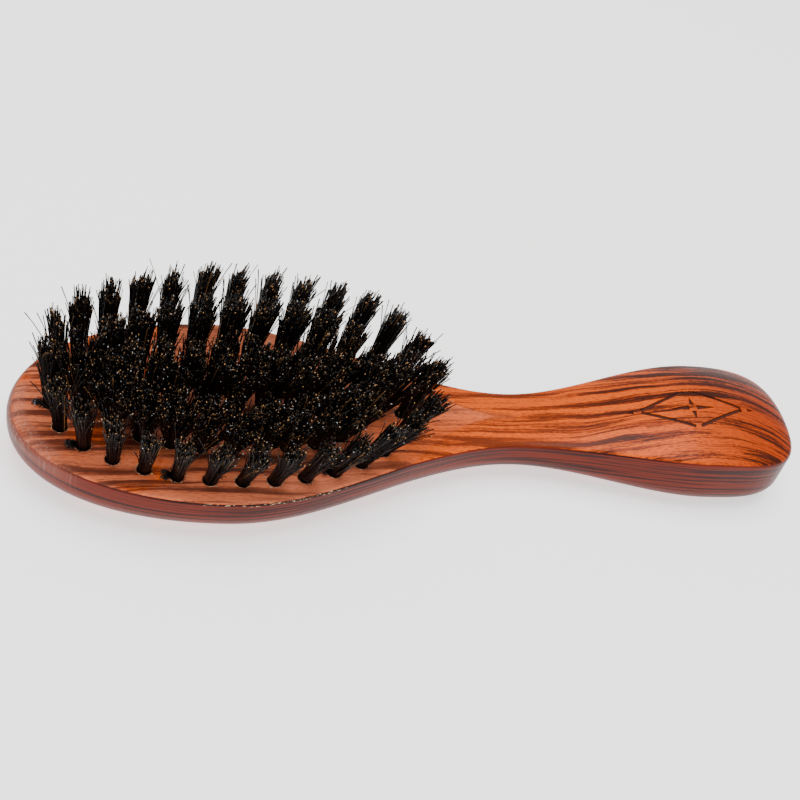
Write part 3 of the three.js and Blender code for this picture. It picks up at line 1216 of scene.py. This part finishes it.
@dataclass
class Anchors:
    """The flat wire that holds each tuft at the bottom of its hole."""

    holes: HoleField
    length: float = 2.5
    height: float = 1.1
    thickness: float = 0.3
    above_bottom: float = 0.1
    arch: float = 0.25
    squareness: float = 0.6
    steps: int = 9
    sides: int = 12

    def build(self, finish: DrawnWire) -> bpy.types.Object:
        """A rounded flat section carried along a parabola, once for each hole, with its ends set in the wood.

        Args:
            finish: The wire.

        Returns:
            All anchors as one piece.
        """
        turn = turns(self.sides)
        squared = [np.sign(wave) * np.abs(wave) ** self.squareness for wave in (np.cos(turn), np.sin(turn))]
        reach = np.linspace(-0.5, 0.5, self.steps)[:, None]
        rise = self.arch * (1.0 - (2.0 * reach) ** 2)
        across = self.thickness / 2.0 * squared[0][None, :] + 0.0 * reach
        middle = self.above_bottom + self.height / 2.0 + rise
        up = middle - self.holes.depth + self.height / 2.0 * squared[1][None, :] - self.arch
        local = np.stack([np.broadcast_to(reach * self.length, up.shape), across, up], axis=-1)
        local, faces = local.reshape(-1, 3), capped(self.steps, self.sides)
        holes = [(self.holes.mouth(x, y), self.holes.axes(x, y)) for _, x, y in self.holes.places()]
        mesh = joined("tuft_anchors", ((mouth + local @ np.stack(axes), faces) for mouth, axes in holes))
        welded(mesh)
        mesh.shade_smooth()
        mesh.set_sharp_from_angle(angle=math.radians(40.0))
        wires = add_object("tuft_anchors", mesh, finish.build())
        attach(wires, BODY)
        return wires


# ---------------------------------------------------------------- camera, floor and light


@dataclass
class Studio:
    """A camera that looks down across the brush, a pale floor and soft lights."""

    azimuth: float = 23.69
    elevation: float = 42.94
    roll: float = 18.4
    distance: float = 306.79
    target: Place = (-4.64, 4.0, 12.5)
    lens: float = 65.25
    sensor: float = 36.0
    floor_half: float = 30000.0
    floor_gap: float = 0.05
    sky: float = 0.5

    def camera(self) -> None:
        """Places the camera by the angle it looks along and down, and its roll about that line."""
        a, e, r = (math.radians(v) for v in (self.azimuth, self.elevation, self.roll))
        forward = Vector((math.sin(a) * math.cos(e), math.cos(a) * math.cos(e), -math.sin(e)))
        right = Vector((math.cos(a), -math.sin(a), 0.0))
        up = right.cross(forward)
        turned_right = math.cos(r) * right + math.sin(r) * up
        turned_up = -math.sin(r) * right + math.cos(r) * up
        place = (Vector(self.target) - forward * self.distance) * MM
        data = bpy.data.cameras.new("camera")
        data.lens, data.sensor_width = self.lens, self.sensor
        data.clip_start = 0.01
        camera = bpy.data.objects.new("camera", data)
        columns = Matrix((turned_right, turned_up, -forward)).transposed()
        camera.matrix_world = Matrix.Translation(place) @ columns.to_4x4()
        bpy.context.scene.collection.objects.link(camera)
        bpy.context.scene.camera = camera

    def _light(self, name: str, place: Place, size: float, power: float, tint: Colour) -> None:
        """A square soft light, in metres and watts, that looks at the brush."""
        data = bpy.data.lights.new(name, "AREA")
        data.size, data.energy, data.color = size, power, tint
        light = bpy.data.objects.new(name, data)
        light.location = place
        light.rotation_euler = (Vector((0.0, 0.0, 0.01)) - Vector(place)).to_track_quat("-Z", "Y").to_euler()
        bpy.context.scene.collection.objects.link(light)

    def lights(self) -> None:
        """One broad light above, one fill in front, and an even sky."""
        self._light("overhead", (0.0, -0.02, 0.80), size=0.60, power=8.5, tint=(1.0, 0.985, 0.96))
        self._light("front_fill", (-0.45, -0.60, 0.45), size=0.50, power=3.0, tint=(0.95, 0.97, 1.0))
        world = bpy.data.worlds.new("sky")
        world.use_nodes = True
        background = world.node_tree.nodes["Background"].inputs
        background["Color"].default_value = (1.0, 1.0, 1.0, 1.0)
        background["Strength"].default_value = self.sky
        bpy.context.scene.world = world

    def floor(self, finish: StudioFloor) -> None:
        """A wide flat sweep a hair below the brush, so that no two surfaces share a plane."""
        half, level = self.floor_half, -self.floor_gap
        corners = np.array([(-half, -half), (half, -half), (half, half), (-half, half)])
        points = np.column_stack([corners, np.full(4, level)])
        floor = add_object("floor", mesh_from("floor", points, [(0, 1, 2, 3)]), finish.build())


def report(piece: bpy.types.Object) -> None:
    """Logs a piece's name and number of faces."""
    LOG.info("%s: %d faces", piece.name, len(piece.data.polygons))


def main() -> None:
    """Builds the camera, the set and every piece of the brush, in order."""
    logging.basicConfig(level=logging.INFO, format="%(name)s %(message)s")
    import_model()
    studio = Studio()
    studio.camera()
    form = BodyForm()
    holes = HoleField(form)
    report(BrushBody(form, holes, Outline(form)).build(WoodFilm()))
    report(DrilledRims(holes).build(RawWood()))
    report(Anchors(holes).build(DrawnWire()))
    for tuft in Tufts(holes).build(BoarBristle()):
        report(tuft)
    studio.floor(StudioFloor())
    studio.lights()


if __name__ == "__main__":
    main()
